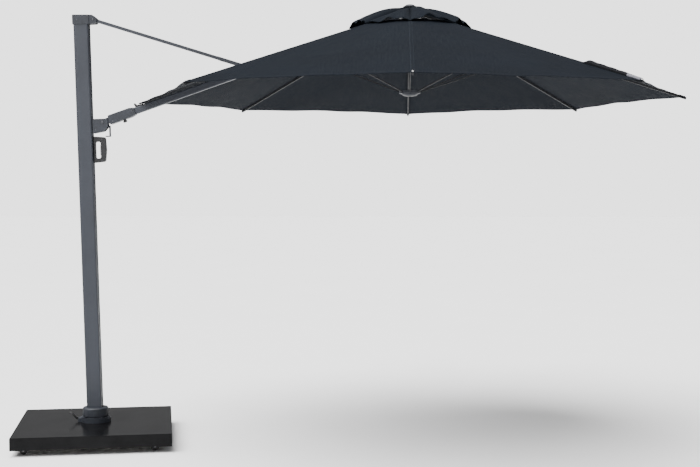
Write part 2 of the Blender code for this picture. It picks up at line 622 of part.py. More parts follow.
def make_hub():
    """A turned hub: a core, a crown slotted for the ribs and the boom, and a top plate."""
    profile = [(0, -0.034), (0.036, -0.034), (CORE_RADIUS, -0.026), (CORE_RADIUS, -0.0095),
               (CROWN_RADIUS, -0.0095), (CROWN_RADIUS, 0.0095), (CORE_RADIUS, 0.0095), (CORE_RADIUS, 0.0235),
               (PLATE_RADIUS, 0.0235), (PLATE_RADIUS - 0.004, 0.028), (0, 0.030)]
    made = piece("hub", turned(profile, count=48), hub, DARK_PLASTIC)
    slots = bmesh.new()
    for number in range(RIB_COUNT):
        angle = 2 * math.pi * number / RIB_COUNT
        half = (NOSE_WIDTH if number == RIB_COUNT // 2 else RIB_WIDTH) / 2 + GAP
        ends = [(CORE_RADIUS + 0.0004, -half), (0.09, -half), (0.09, half), (CORE_RADIUS + 0.0004, half)]
        turned_ends = [(x * math.cos(angle) - y * math.sin(angle), x * math.sin(angle) + y * math.cos(angle))
                       for x, y in ends]
        extrude(turned_ends, "Z", -0.0105, 0.0105, bm=slots)
    cut(made, slots, "slots")
    finial_low = cloth_height(FLAP_BORE) + FLAP_RISE + CLOTH + 0.0035
    cut(made, rod("Z", 0.0060, 0.010, 0.05, count=16), "screw_hole")
    profile = [(0, 0.0125), (0.0055, 0.0125), (0.0055, finial_low), (0.0435, finial_low - 0.002),
               (0.0435, finial_low + 0.006), (0.034, finial_low + 0.014), (0.016, finial_low + 0.019),
               (0, finial_low + 0.020)]
    piece("finial", turned(profile, count=32), hub, DARK_PLASTIC)


def rib_angles():
    """Number and azimuth of each rib; the boom takes the place of the middle one."""
    for number in range(RIB_COUNT):
        if number != RIB_COUNT // 2:
            yield number, 2 * math.pi * number / RIB_COUNT


def make_ribs():
    slope = math.radians(RIB_SLOPE)
    radius_s = HUB_HINGE + STRUT_LENGTH * math.cos(slope)
    drop_s = STRUT_LENGTH * math.sin(slope)
    for number, angle in rib_angles():
        c, s = math.cos(angle), math.sin(angle)
        hinge = frame(f"rib_hinge_{number}", (HUB_HINGE * c, HUB_HINGE * s, 0), slope, angle, parent=hub)
        make_rib(number, hinge)
        joint = frame(f"strut_hinge_{number}", (radius_s * c, radius_s * s, -drop_s), math.pi - slope, angle,
                      parent=hub)
        make_strut(number, joint)


def make_rib(number, hinge):
    """A rib with its eye at the hub and a lug under it for the strut."""
    top = CLOTH_RISE * math.cos(math.radians(RIB_SLOPE)) - 0.0010
    low = top - RIB_HEIGHT
    eye = 0.0072
    outline = rounded([(-eye, -eye, eye - 0.0002), (0.012, -eye, 0.004), (0.030, low, 0.004),
                       (STRUT_LENGTH - 0.020, low, 0.0), (STRUT_LENGTH - 0.010, -0.0060, 0.003),
                       (STRUT_LENGTH + 0.010, -0.0060, 0.003), (STRUT_LENGTH + 0.020, low, 0.0),
                       (RIB_LENGTH - 0.006, low, 0.003), (RIB_LENGTH - 0.006, top, 0.003),
                       (0.022, top, 0.003), (-eye, eye, eye - 0.0002)], steps=2)
    rib = piece(f"rib_{number}", extrude(outline, "Y", -RIB_WIDTH / 2, RIB_WIDTH / 2), hinge, SLATE)
    half = STRUT_EYE_WIDTH / 2 + 0.0005
    slot = box(STRUT_LENGTH - 0.05, STRUT_LENGTH + 0.05, -half, half, -0.02, low - 0.0002)
    cut(rib, slot, "strut_slot")


def make_strut(number, joint):
    """A flat strut from the rib's lug to the runner, thin at both ends."""
    h = 0.0040
    length = STRUT_LENGTH
    outline = rounded([(-0.0045, -h, h - 0.0003), (length + 0.0045, -h, h - 0.0003),
                       (length + 0.0045, h, h - 0.0003), (-0.0045, h, h - 0.0003)], steps=2)
    half = STRUT_EYE_WIDTH / 2
    strut = piece(f"strut_{number}", extrude(outline, "Y", -half, half), joint, SLATE)
    add(strut, box(0.045, length - 0.045, -0.0042, 0.0042, -0.0036, 0.0036), "rail")


def make_runner():
    """The disc that the struts' lower ends hang on, slotted like the hub."""
    centre = frame("runner_frame", (0, 0, -RUNNER_DROP), parent=hub)
    rim = CROWN_RADIUS - 0.002
    profile = [(0, -0.022), (0.040, -0.022), (0.052, -0.014), (0.052, -0.0085), (rim, -0.0085), (rim, 0.0085),
               (0.040, 0.0085), (0.030, 0.016), (0, 0.016)]
    runner = piece("runner", turned(profile, count=40), centre, DARK_PLASTIC)
    slots = bmesh.new()
    half = STRUT_EYE_WIDTH / 2 + GAP
    for _, angle in rib_angles():
        ends = [(0.0545, -half), (0.09, -half), (0.09, half), (0.0545, half)]
        c, s = math.cos(angle), math.sin(angle)
        extrude([(x * c - y * s, x * s + y * c) for x, y in ends], "Z", -0.02, 0.02, bm=slots)
    cut(runner, slots, "slots")


# ---------------------------------------------------------------- canopy
def cloth_height(reach):
    """Cloth above the hub's hinge plane where the nearest rib's radius is reach."""
    return CLOTH_RISE - (reach - HUB_HINGE) * math.tan(math.radians(RIB_SLOPE))


def gore_sheet(bm, inner, outer, rise, scallop, drops=(0.0, 0.0, 0.0)):
    """Half a panel each side of a rib: a closed thin solid, ridge up, in the rib's azimuth frame.

    drops is how far the outer edge is lowered at the right border, the ridge and the left border."""
    top, bottom = [], []
    side_gap = 0.0012
    for side in (-1, 0, 1):
        for level in (0.0, 0.5, 1.0):
            reach = inner + (outer - inner) * level
            if side and level == 1.0:
                reach -= scallop
            radius = reach * (math.cos(HALF_PANEL) if side else 1.0)
            angle = side * HALF_PANEL
            x = radius * math.cos(angle)
            y = radius * math.sin(angle) - side * side_gap
            z = cloth_height(reach) + rise
            if level == 1.0:
                z -= drops[side + 1]
            bottom.append(bm.verts.new((x, y, z)))
            top.append(bm.verts.new((x, y, z + CLOTH)))
    for column in (0, 1):
        for row in (0, 1):
            i = column * 3 + row
            near_corners = [(i, i + 3, i + 1), (i + 3, i + 4, i + 1)]
            far_corners = [(i, i + 3, i + 4), (i, i + 4, i + 1)]
            for corners in far_corners if column else near_corners:
                bm.faces.new([top[corner] for corner in corners])
                bm.faces.new([bottom[corner] for corner in corners])
    border = [0, 3, 6, 7, 8, 5, 2, 1]
    for a, b in zip(border, border[1:] + border[:1]):
        bm.faces.new((bottom[a], bottom[b], top[b], top[a]))


def corner_drop(place):
    """Drop of the rim at a place counted in ribs: all of it at the boom, none at the ribs beside it."""
    return CORNER_DROP * max(0.0, 1 - abs(place - RIB_COUNT // 2))


def make_canopy():
    """Eight gores, each on its rib (the middle one on the boom), and the vent flap over them."""
    for number in range(RIB_COUNT):
        angle = 2 * math.pi * number / RIB_COUNT
        azimuth = frame(f"gore_{number}_frame", (0, 0, 0), 0.0, angle, parent=hub)
        bm = bmesh.new()
        drops = [corner_drop(number - 0.5), corner_drop(number), corner_drop(number + 0.5)]
        gore_sheet(bm, VENT_RADIUS, CANOPY_RADIUS, 0.0, SCALLOP, drops)
        gore = piece(f"gore_{number}", bm, azimuth, CLOTH_NAVY)
        flap = bmesh.new()
        gore_sheet(flap, FLAP_BORE, FLAP_RADIUS, FLAP_RISE, 0.004)
        add(gore, flap, "flap")
        strap = VENT_RADIUS + 0.030
        low = cloth_height(strap) + CLOTH / 2
        add(gore, box(strap - 0.0025, strap + 0.0025, -0.012, 0.012, low, low + FLAP_RISE), "strap")
        if number == RIB_COUNT // 2:
            cut(gore, stay_slit(), "stay_slit")


def stay_slit():
    """The opening that lets the stay through the cloth, in the gore's frame, whose +X points outward."""
    tan_rib = math.tan(math.radians(RIB_SLOPE))
    cloth_at_mast = HUB_Z + CLOTH_RISE - (HUB_X - HUB_HINGE) * tan_rib
    cross_x = (P1.z + STAY_FALL * P1.x - cloth_at_mast) / (tan_rib + STAY_FALL)
    crossing = HUB_X - cross_x
    return box(crossing - 0.070, crossing + 0.070, -0.048, 0.048, -1.0, 0.2)


make_base_cover()
make_base_frame()
make_ballast()
make_casters()
make_foot()
make_rotary_collar()
make_pedal()
make_mast()
make_mast_cap()
make_stay()
make_carriage()
make_boom_housing()
make_boom_collar()
make_boom()
make_hub()
make_ribs()
make_runner()
make_canopy()
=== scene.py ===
import json
import math

import bmesh
import bpy
from mathutils import Matrix, Vector, noise


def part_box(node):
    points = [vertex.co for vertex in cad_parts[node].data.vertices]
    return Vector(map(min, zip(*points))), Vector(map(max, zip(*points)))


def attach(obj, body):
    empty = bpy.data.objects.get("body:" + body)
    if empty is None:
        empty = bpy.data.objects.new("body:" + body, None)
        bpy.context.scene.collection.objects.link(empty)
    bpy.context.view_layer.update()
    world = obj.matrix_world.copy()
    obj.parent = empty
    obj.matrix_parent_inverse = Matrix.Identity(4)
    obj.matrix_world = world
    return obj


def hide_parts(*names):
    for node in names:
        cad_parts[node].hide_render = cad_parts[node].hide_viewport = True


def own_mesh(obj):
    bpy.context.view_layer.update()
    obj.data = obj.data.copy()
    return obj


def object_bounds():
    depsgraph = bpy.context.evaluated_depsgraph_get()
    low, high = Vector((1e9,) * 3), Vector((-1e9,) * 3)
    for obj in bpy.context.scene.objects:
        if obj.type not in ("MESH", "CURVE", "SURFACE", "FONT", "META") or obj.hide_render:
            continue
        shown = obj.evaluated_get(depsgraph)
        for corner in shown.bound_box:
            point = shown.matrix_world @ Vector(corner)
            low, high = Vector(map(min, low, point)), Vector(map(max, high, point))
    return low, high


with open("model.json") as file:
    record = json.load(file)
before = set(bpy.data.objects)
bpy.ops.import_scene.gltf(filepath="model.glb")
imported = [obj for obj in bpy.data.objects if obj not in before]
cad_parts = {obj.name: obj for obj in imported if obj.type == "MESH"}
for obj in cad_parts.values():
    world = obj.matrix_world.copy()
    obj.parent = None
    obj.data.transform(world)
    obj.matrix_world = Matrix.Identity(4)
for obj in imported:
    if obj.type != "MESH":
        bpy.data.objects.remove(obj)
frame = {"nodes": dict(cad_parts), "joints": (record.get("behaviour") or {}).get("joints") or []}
cad_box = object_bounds()

# ---------------------------------------------------------------- what the frame says
JOINTS = {joint["name"]: joint for joint in frame["joints"]}


def joint_at(name):
    return Vector(JOINTS[name]["pos_m"])


def joint_axis(name):
    return Vector(JOINTS[name]["axis"]).normalized()


RIBS = 8
BOOM_GORE = 4                                  # the boom stands where this rib would
HALF_PANEL = math.pi / RIBS
STAY_PIN, BOOM_PIN, STAY_END = [joint_at(name) for name in ("stay_swing", "carriage_hinge", "boom_fold")]
HUB = Vector((joint_at("rib_fold_2").x, 0, joint_at("rib_fold_2").z))
HINGE_RADIUS = joint_at("rib_fold_2").y
STRUT_AT = joint_at("strut_fold_0")
RIB_TAN = (HUB.z - STRUT_AT.z) / (STRUT_AT.x - HUB.x - HINGE_RADIUS)
RIB_SLOPE = math.atan(RIB_TAN)
CANOPY_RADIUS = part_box("gore_0")[1].x - HUB.x
CORNER_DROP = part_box("gore_0")[0].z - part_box("gore_4")[0].z
CLOTH_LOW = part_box("gore_0")[0].z - HUB.z + (CANOPY_RADIUS - HINGE_RADIUS) * RIB_TAN
BOOM_AXIS = joint_axis("boom_roll")
BOOM_UP = Vector((-BOOM_AXIS.z, 0, BOOM_AXIS.x))
STAY_AXIS = (STAY_END - STAY_PIN).normalized()
FOOT = joint_at("mast_turn")
MAST_UP = -joint_axis("rod_slide")
MAST_OUT = joint_axis("trigger_pull")
WHEEL_AXIS = joint_axis("wheel_roll_1")


def rib_direction(number):
    angle = 2 * math.pi * number / RIBS
    return Vector((math.cos(angle), math.sin(angle), 0))


def rib_tangent(number):
    angle = 2 * math.pi * number / RIBS
    return Vector((-math.sin(angle), math.cos(angle), 0))


def rib_body(number):
    return "boom" if number == BOOM_GORE else f"rib_{number}"


# ---------------------------------------------------------------- materials
class Nodes:
    """A short way to wire one material's nodes."""

    def __init__(self, name):
        self.material = bpy.data.materials.new(name)
        self.material.use_nodes = True
        self.tree = self.material.node_tree
        self.shader = self.tree.nodes["Principled BSDF"]
        self.coords = self.add("ShaderNodeTexCoord")

    def add(self, kind, **settings):
        node = self.tree.nodes.new(kind)
        for key, value in settings.items():
            setattr(node, key, value)
        return node

    def link(self, source, target):
        self.tree.links.new(source, target)

    def mapped(self, scale, space="Object"):
        mapping = self.add("ShaderNodeMapping")
        mapping.inputs["Scale"].default_value = scale
        self.link(self.coords.outputs[space], mapping.inputs["Vector"])
        return mapping.outputs["Vector"]

    def noise(self, scale, detail=4.0, space="Object", stretch=(1, 1, 1), rough=0.55):
        node = self.add("ShaderNodeTexNoise")
        node.inputs["Scale"].default_value = scale
        node.inputs["Detail"].default_value = detail
        node.inputs["Roughness"].default_value = rough
        self.link(self.mapped(stretch, space), node.inputs["Vector"])
        return node.outputs["Fac"]

    def voronoi(self, scale):
        node = self.add("ShaderNodeTexVoronoi")
        node.inputs["Scale"].default_value = scale
        self.link(self.mapped((1, 1, 1)), node.inputs["Vector"])
        return node.outputs["Distance"]

    def spread(self, value, low, high, start=0.3, end=0.7):
        """From low to high as value goes from start to end."""
        node = self.add("ShaderNodeMapRange")
        self.link(value, node.inputs["Value"])
        for name, number in zip(("From Min", "From Max", "To Min", "To Max"), (start, end, low, high)):
            node.inputs[name].default_value = number
        return node.outputs["Result"]

    def ramp(self, value, stops):
        node = self.add("ShaderNodeValToRGB")
        elements = node.color_ramp.elements
        while len(elements) < len(stops):
            elements.new(0.5)
        for element, (place, colour) in zip(elements, stops):
            element.position = place
            element.color = (*colour, 1)
        self.link(value, node.inputs["Fac"])
        return node.outputs["Color"]

    def math(self, operation, a, b=0.5):
        node = self.add("ShaderNodeMath", operation=operation)
        for place, value in enumerate((a, b)):
            if isinstance(value, (int, float)):
                node.inputs[place].default_value = value
            else:
                self.link(value, node.inputs[place])
        return node.outputs["Value"]

    def tint(self, colour, value, amount):
        """The colour, lighter and darker by amount, as value goes from 0 to 1."""
        dark = [max(c * (1 - amount), 0) for c in colour]
        light = [min(c * (1 + amount), 1) for c in colour]
        return self.ramp(value, [(0.3, dark), (0.7, light)])

    def bump(self, height, strength, distance, under=None):
        node = self.add("ShaderNodeBump")
        node.inputs["Strength"].default_value = strength
        node.inputs["Distance"].default_value = distance
        self.link(height, node.inputs["Height"])
        if under is not None:
            self.link(under, node.inputs["Normal"])
        return node.outputs["Normal"]

    def finish(self, colour, roughness, normal=None, **constants):
        self.link(colour, self.shader.inputs["Base Color"])
        self.link(roughness, self.shader.inputs["Roughness"])
        if normal is not None:
            self.link(normal, self.shader.inputs["Normal"])
        for name, value in constants.items():
            self.shader.inputs[name.replace("_", " ")].default_value = value
        return self.material


def gloss_black():
    """Glossy black stove enamel: faint orange peel, and smears that dull it a little."""
    n = Nodes("gloss_black_enamel")
    smear = n.noise(5, 5, stretch=(1, 0.45, 1))
    dust = n.noise(420, 2)
    colour = n.tint((0.0040, 0.0040, 0.0044), n.noise(9), 0.35)
    rough = n.math("ADD", n.spread(smear, 0.10, 0.22), n.spread(dust, 0.0, 0.05, 0.6, 0.75))
    peel = n.bump(n.noise(160, 2), 0.05, 0.0006)
    return n.finish(colour, rough, peel, Specular_IOR_Level=0.08)


def powder_coat(name, colour, roughness):
    """Powder-coated aluminium: fine orange peel and a slight change of tone."""
    n = Nodes(name)
    tone = n.tint(colour, n.noise(3.5, 6), 0.12)
    rough = n.spread(n.noise(40, 4), roughness - 0.06, roughness + 0.08)
    peel = n.bump(n.noise(1100, 2), 0.16, 0.0004)
    return n.finish(tone, rough, n.bump(n.noise(60, 3), 0.05, 0.0008, peel), Specular_IOR_Level=0.30)


def moulded_plastic(name, colour, roughness):
    """Spark-eroded plastic: a fine leathery grain over slow changes of gloss."""
    n = Nodes(name)
    tone = n.tint(colour, n.noise(22, 5), 0.22)
    rough = n.spread(n.noise(70, 5), roughness - 0.08, roughness + 0.10)
    grain = n.bump(n.voronoi(1500), 0.22, 0.0003)
    return n.finish(tone, rough, n.bump(n.noise(500, 3), 0.15, 0.0004, grain), Specular_IOR_Level=0.35)


def steel(name, colour):
    n = Nodes(name)
    brushed = n.noise(260, 3, stretch=(1, 1, 0.06))
    tone = n.tint(colour, n.noise(35, 4), 0.18)
    return n.finish(tone, n.spread(brushed, 0.24, 0.42), n.bump(brushed, 0.08, 0.0003), Metallic=1.0)


def painted_steel():
    n = Nodes("black_painted_steel")
    tone = n.tint((0.021, 0.021, 0.023), n.noise(14, 5), 0.3)
    chips = n.spread(n.noise(90, 4), 0.38, 0.62)
    return n.finish(tone, chips, n.bump(n.noise(300, 3), 0.18, 0.0005))


def stone():
    """Cast stone ballast: aggregate, pores and pale dust."""
    n = Nodes("cast_stone")
    grit = n.ramp(n.noise(130, 8), [(0.3, (0.13, 0.125, 0.12)), (0.5, (0.25, 0.24, 0.225)),
                                    (0.72, (0.40, 0.385, 0.36))])
    pores = n.bump(n.voronoi(210), 0.5, 0.0015)
    return n.finish(grit, n.spread(n.noise(60), 0.82, 0.95), n.bump(n.noise(500, 4), 0.35, 0.0008, pores))


def tyre_rubber():
    n = Nodes("castor_rubber")
    dust = n.ramp(n.noise(90, 5), [(0.35, (0.018, 0.018, 0.019)), (0.7, (0.042, 0.040, 0.038))])
    return n.finish(dust, n.spread(n.noise(50), 0.66, 0.86), n.bump(n.noise(700, 3), 0.3, 0.0004))


def stitch_line(n, along, across, place, width, pitch):
    """1 on the threads of one stitched row beside a seam, else 0."""
    offset = n.math("ABSOLUTE", n.math("SUBTRACT", across, place))
    in_row = n.math("LESS_THAN", offset, width)
    phase = n.math("FRACT", n.math("DIVIDE", along, pitch))
    return n.math("MULTIPLY", in_row, n.math("LESS_THAN", phase, 0.68))


YARN_PAIR = 0.0018             # two yarns of the plain weave
STITCH_ROW = 0.0085            # from a seam's middle to each of its two rows of stitches
STITCH_WIDTH, STITCH_PITCH = 0.0007, 0.0045
THREAD = (0.030, 0.037, 0.048)
WEBBING_RIB = 0.0025


def canopy_cloth(name, colour, stitched=False):
    """Solution-dyed canvas: plain weave of 0.9 mm yarns, slubs, a slow fade, and soft handling creases.

    The UV map holds metres across and along the cloth."""
    n = Nodes(name)
    split = n.add("ShaderNodeSeparateXYZ")
    n.link(n.coords.outputs["UV"], split.inputs["Vector"])
    across, along = split.outputs["X"], split.outputs["Y"]
    yarn = 2 * math.pi / YARN_PAIR
    warp = n.math("SINE", n.math("MULTIPLY", across, yarn))
    weft = n.math("SINE", n.math("MULTIPLY", along, yarn))
    weave = n.math("MULTIPLY", warp, weft)
    slub = n.noise(90, 3, "UV", (1, 0.08, 1))
    fade = n.noise(2.2, 5)
    mottled = n.math("ADD", n.math("MULTIPLY", fade, 0.6), n.math("MULTIPLY", slub, 0.4))
    tone = n.tint(colour, mottled, 0.20)
    normal = n.bump(weave, 0.35, 0.0004)
    creases = n.bump(n.noise(7, 4, "UV", (1.0, 2.6, 1), 0.6), 0.30, 0.006, normal)
    if stitched:
        rows = None
        for place in (-STITCH_ROW, STITCH_ROW):
            row = stitch_line(n, along, across, place, STITCH_WIDTH, STITCH_PITCH)
            rows = row if rows is None else n.math("ADD", rows, row)
        creases = n.bump(rows, 0.9, 0.0008, creases)
        thread = n.add("ShaderNodeMix", data_type="RGBA")
        n.link(rows, thread.inputs["Factor"])
        n.link(tone, thread.inputs[6])
        thread.inputs[7].default_value = (*THREAD, 1)
        tone = thread.outputs[2]
    return n.finish(tone, n.spread(slub, 0.80, 0.93), creases, Specular_IOR_Level=0.07)


def webbing(name, colour):
    """Woven tape: ribs across it and a fuzz of yarn."""
    n = Nodes(name)
    split = n.add("ShaderNodeSeparateXYZ")
    n.link(n.coords.outputs["UV"], split.inputs["Vector"])
    ribs = n.math("SINE", n.math("MULTIPLY", split.outputs["Y"], 2 * math.pi / WEBBING_RIB))
    tone = n.tint(colour, n.noise(140, 4), 0.25)
    return n.finish(tone, n.spread(n.noise(300), 0.75, 0.92), n.bump(ribs, 0.5, 0.0006),
                    Specular_IOR_Level=0.12)


GLOSS = gloss_black()
SLATE = powder_coat("slate_powder_coat", (0.025, 0.028, 0.036), 0.44)
CANOPY_PAINT = powder_coat("canopy_frame_coat", (0.0070, 0.0076, 0.0092), 0.58)
HOUSING = moulded_plastic("slate_glass_filled_plastic", (0.0155, 0.0180, 0.0240), 0.48)
BLACK = moulded_plastic("black_plastic", (0.0080, 0.0080, 0.0090), 0.48)
STEEL = steel("zinc_plated_steel", (0.46, 0.46, 0.47))
DARK_STEEL = steel("black_oxide_steel", (0.075, 0.077, 0.085))
PAINTED_STEEL = painted_steel()
STONE = stone()
RUBBER = tyre_rubber()
NAVY = (0.0042, 0.0060, 0.0092)
CLOTH = canopy_cloth("canopy_canvas", NAVY)
SEAM_CLOTH = canopy_cloth("canopy_seam_tape", NAVY, stitched=True)
STRAP = webbing("closing_strap_webbing", (0.0050, 0.0055, 0.0072))
TAG = webbing("plain_grey_tag", (0.150, 0.150, 0.172))
# The rivets' pale grey is a painted highlight: it stands in for the glint on the rib-end tips.
RIVET_PAINTED_HIGHLIGHT = moulded_plastic("rivet_painted_highlight_plastic", (0.62, 0.62, 0.62), 0.35)

CARRIED = {
    GLOSS: ["base_cover"],
    PAINTED_STEEL: ["base_frame"] + [f"caster_fork_{i}" for i in range(1, 5)],
    STONE: [f"ballast_slab_{i}" for i in range(1, 5)],
    SLATE: ["mast_tube", "stay_tube", "stay_fork", "boom_collar", "boom_tube"],
    CANOPY_PAINT: [f"{kind}_{k}" for kind in ("rib", "strut") for k in range(RIBS) if k != BOOM_GORE],
    HOUSING: ["foot_flange", "rotary_collar", "mast_cap", "carriage_bracket", "boom_housing", "hub", "runner",
              "release_rod"],
    BLACK: ["foot_pedal", "handle_loop", "boom_bush", "corner_hook"],
    STEEL: ["thrust_ring", "stay_pin", "boom_pin", "lock_rail", "trigger"],
}
for finish, names in CARRIED.items():
    for node_name in names:
        mesh = frame["nodes"][node_name].data
        mesh.materials.clear()
        mesh.materials.append(finish)


# ---------------------------------------------------------------- mesh tools
def make_object(name, bm, finish, smooth_angle=40):
    """A named object of a bmesh, shaded smooth up to an angle."""
    bmesh.ops.recalc_face_normals(bm, faces=bm.faces)
    mesh = bpy.data.meshes.new(name)
    bm.to_mesh(mesh)
    bm.free()
    mesh.shade_smooth()
    mesh.set_sharp_from_angle(angle=math.radians(smooth_angle))
    mesh.materials.append(finish)
    obj = bpy.data.objects.new(name, mesh)
    bpy.context.scene.collection.objects.link(obj)
    return obj


def place(bm, location, z_axis, x_axis=None):
    """Move a bmesh made about the origin so that its +Z looks along z_axis."""
    z = Vector(z_axis).normalized()
    x = Vector(x_axis) if x_axis is not None else z.orthogonal()
    x = (x - z * x.dot(z)).normalized()
    y = z.cross(x)
    matrix = Matrix((x, y, z)).transposed().to_4x4()
    matrix.translation = location
    bmesh.ops.transform(bm, matrix=matrix, verts=bm.verts)
    return bm


def revolve(profile, steps=32):
    """A solid of revolution about Z of (radius, z) points; radius 0 closes it."""
    bm = bmesh.new()
    rings = []
    for radius, z in profile:
        if radius == 0:
            rings.append([bm.verts.new((0, 0, z))])
            continue
        turn = 2 * math.pi / steps
        rings.append([bm.verts.new((radius * math.cos(turn * i), radius * math.sin(turn * i), z))
                      for i in range(steps)])
    for low, high in zip(rings, rings[1:]):
        for i in range(steps):
            j = (i + 1) % steps
            corners = [low[i % len(low)], low[j % len(low)], high[j % len(high)], high[i % len(high)]]
            bm.faces.new(list(dict.fromkeys(corners)))
    return bm


def dome_head(radius, height, steps=24):
    """A low domed screw or pin head that stands on z = 0."""
    arc = [(radius * math.cos(a), height * (0.35 + 0.65 * math.sin(a)))
           for a in [math.pi / 2 * i / 5 for i in range(6)]]
    profile = [(0, -0.0004), (radius, -0.0004)] + arc[:-1] + [(0, height)]
    return revolve(profile, steps)


def socket_screw(radius, height):
    """A button-head screw with a hexagonal socket."""
    bm = dome_head(radius, height)
    return sink_socket(bm, radius * 0.5, height * 0.8)


def sink_socket(bm, radius, depth):
    """Push the middle of a head's crown down into a six-sided socket."""
    top = max(vert.co.z for vert in bm.verts)
    peak = [vert for vert in bm.verts if vert.co.z > top - 1e-7]
    bmesh.ops.delete(bm, geom=peak, context="VERTS")
    edge_loop = [edge for edge in bm.edges if edge.is_boundary]
    rim = sorted({vert for edge in edge_loop for vert in edge.verts},
                 key=lambda vert: math.atan2(vert.co.y, vert.co.x))
    level = rim[0].co.z
    count = len(rim)
    mouth, floor = [], []
    for vert in rim:
        angle = math.atan2(vert.co.y, vert.co.x)
        sector = (angle % (math.pi / 3)) - math.pi / 6
        reach = radius * math.cos(math.pi / 6) / math.cos(sector)
        mouth.append(bm.verts.new((reach * math.cos(angle), reach * math.sin(angle), level + 0.0001)))
        floor.append(bm.verts.new((reach * math.cos(angle), reach * math.sin(angle), top - depth)))
    for i in range(count):
        j = (i + 1) % count
        bm.faces.new((rim[i], rim[j], mouth[j], mouth[i]))
        bm.faces.new((mouth[i], mouth[j], floor[j], floor[i]))
    bm.faces.new(floor)
    return bm


def hex_bolt(width, height, washer):
    """A hexagon head on a washer, standing on z = 0."""
    bm = revolve([(0, 0), (washer, 0), (washer, 0.0012), (0, 0.0012)], 32)
    levels = [(width * 0.5, 0.0013), (width * 0.5, height * 0.85), (width * 0.44, height)]
    rings = []
    for radius, z in levels:
        rings.append([bm.verts.new((radius / math.cos(math.pi / 6) * math.cos(math.pi / 3 * i),
                                    radius / math.cos(math.pi / 6) * math.sin(math.pi / 3 * i), z))
                      for i in range(6)])
    for low, high in zip(rings, rings[1:]):
        for i in range(6):
            j = (i + 1) % 6
            bm.faces.new((low[i], low[j], high[j], high[i]))
    bm.faces.new(rings[0])
    bm.faces.new(rings[-1])
    return bm


def detail(name, bm, finish, body, slot, replaced=(), smooth_angle=40):
    """A small piece that rides a body, in place of CAD nodes if it says so; its slot argument is not used."""
    obj = make_object(name, bm, finish, smooth_angle)
    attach(obj, body)
    if replaced:
        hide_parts(*replaced)
    return obj


EASE_STEPS = 2
EASE_ANGLE = math.radians(32)  # outer edges sharper than this are rounded


def ease_edges(name, body, width, finish):
    """A copy of a CAD piece with its outer edges rounded as a casting or moulding has them."""
    source = frame["nodes"][name]
    bm = bmesh.new()
    bm.from_mesh(source.data)
    bmesh.ops.transform(bm, matrix=source.matrix_world, verts=bm.verts)
    bmesh.ops.remove_doubles(bm, verts=bm.verts, dist=0.00002)
    bmesh.ops.dissolve_limit(bm, angle_limit=math.radians(0.5), verts=bm.verts, edges=bm.edges)
    bmesh.ops.recalc_face_normals(bm, faces=bm.faces)
    weight = bm.edges.layers.float.new("bevel_weight_edge")
    for edge in bm.edges:
        edge[weight] = 1.0 if edge.calc_face_angle_signed(0.0) > EASE_ANGLE else 0.0
    obj = make_object(f"{name}_eased", bm, finish, 40)
    modifier = obj.modifiers.new("edge", "BEVEL")
    modifier.width = width
    modifier.segments = EASE_STEPS
    modifier.limit_method = "WEIGHT"
    modifier.miter_outer = "MITER_ARC"
    modifier.use_clamp_overlap = True
    obj.modifiers.new("shade", "WEIGHTED_NORMAL")
    obj.data = bpy.data.meshes.new_from_object(obj.evaluated_get(bpy.context.evaluated_depsgraph_get()))
    obj.modifiers.clear()
    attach(obj, body)
    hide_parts(name)


def make_eased_pieces():
    rows = [("mast_cap", "mast", 0.0022, HOUSING, "dark_plastic"),
            ("rotary_collar", "mast", 0.0018, HOUSING, "dark_plastic"),
            ("foot_flange", "base", 0.0022, HOUSING, "dark_plastic"),
            ("foot_pedal", "pedal", 0.0010, BLACK, "black_plastic"),
            ("carriage_bracket", "carriage", 0.0018, HOUSING, "dark_plastic"),
            ("handle_loop", "carriage", 0.0026, BLACK, "black_plastic"),
            ("release_rod", "release_rod", 0.0010, HOUSING, "dark_plastic"),
            ("boom_housing", "boom_carrier", 0.0022, HOUSING, "dark_plastic"),
            ("stay_fork", "stay", 0.0006, SLATE, "slate_paint"),
            ("corner_hook", "boom", 0.0010, BLACK, "black_plastic")]
    for name, body, width, finish, slot_name in rows:
        ease_edges(name, body, width, finish)


# ---------------------------------------------------------------- canopy cloth
CLOTH_THICK = 0.0010
HEM = 0.028
SAG = 0.007                    # how far the cloth dips between two ribs at the rim
SCALLOP = 0.045                # how far the rim curves in between two ribs
RIM_BACK = 0.002               # the cloth ends this far inside the canopy's corner
VENT = 0.300                   # reach of the opening under the flap
FLAP, FLAP_BORE = 0.390, 0.024
FLAP_HEM = 0.014
FLAP_SCALLOP = 0.006
DROP_START = 1.025             # the boom's corner hangs lower from this reach on
ROWS, COLUMNS = 44, 36
FLAP_ROWS = 26
CREASE = 45                    # degrees; a sharper edge of cloth isn't shaded smooth
SLIT_LENGTH, SLIT_WIDTH = 0.146, 0.112
SLIT_DEEP = 0.12
BINDING_IN, BINDING_OUT = 0.006, 0.034    # the slit's binding against the slit, both sides together
TAPE_HALF, TAPE_RISE, TAPE_THICK = 0.0125, 0.0003, 0.0009
TAPE_GAP = 0.016               # from the slit's end to the seam tape


def polygon_radius(reach, angle):
    """Distance from the hub's axis of the octagon whose corners are at reach, angle from a rib."""
    return reach * math.cos(HALF_PANEL) / math.cos(HALF_PANEL - abs(angle))


def dip(u):
    """0 at the ribs, 1 in the middle of a panel; u runs from 0 to 1 across the panel."""
    return 4 * u * (1 - u)


def ridge_height(reach):
    """Underside of the cloth over a rib, above the plane of the rib hinges."""
    return CLOTH_LOW - (reach - HINGE_RADIUS) * RIB_TAN


def corner_drop(reach, place):
    """How much lower the cloth hangs towards the boom's corner; place counts ribs and parts of a panel."""
    share = max(0.0, 1 - abs(place - BOOM_GORE))
    return CORNER_DROP * share * max(0.0, (reach - DROP_START) / (CANOPY_RADIUS - DROP_START)) ** 1.2


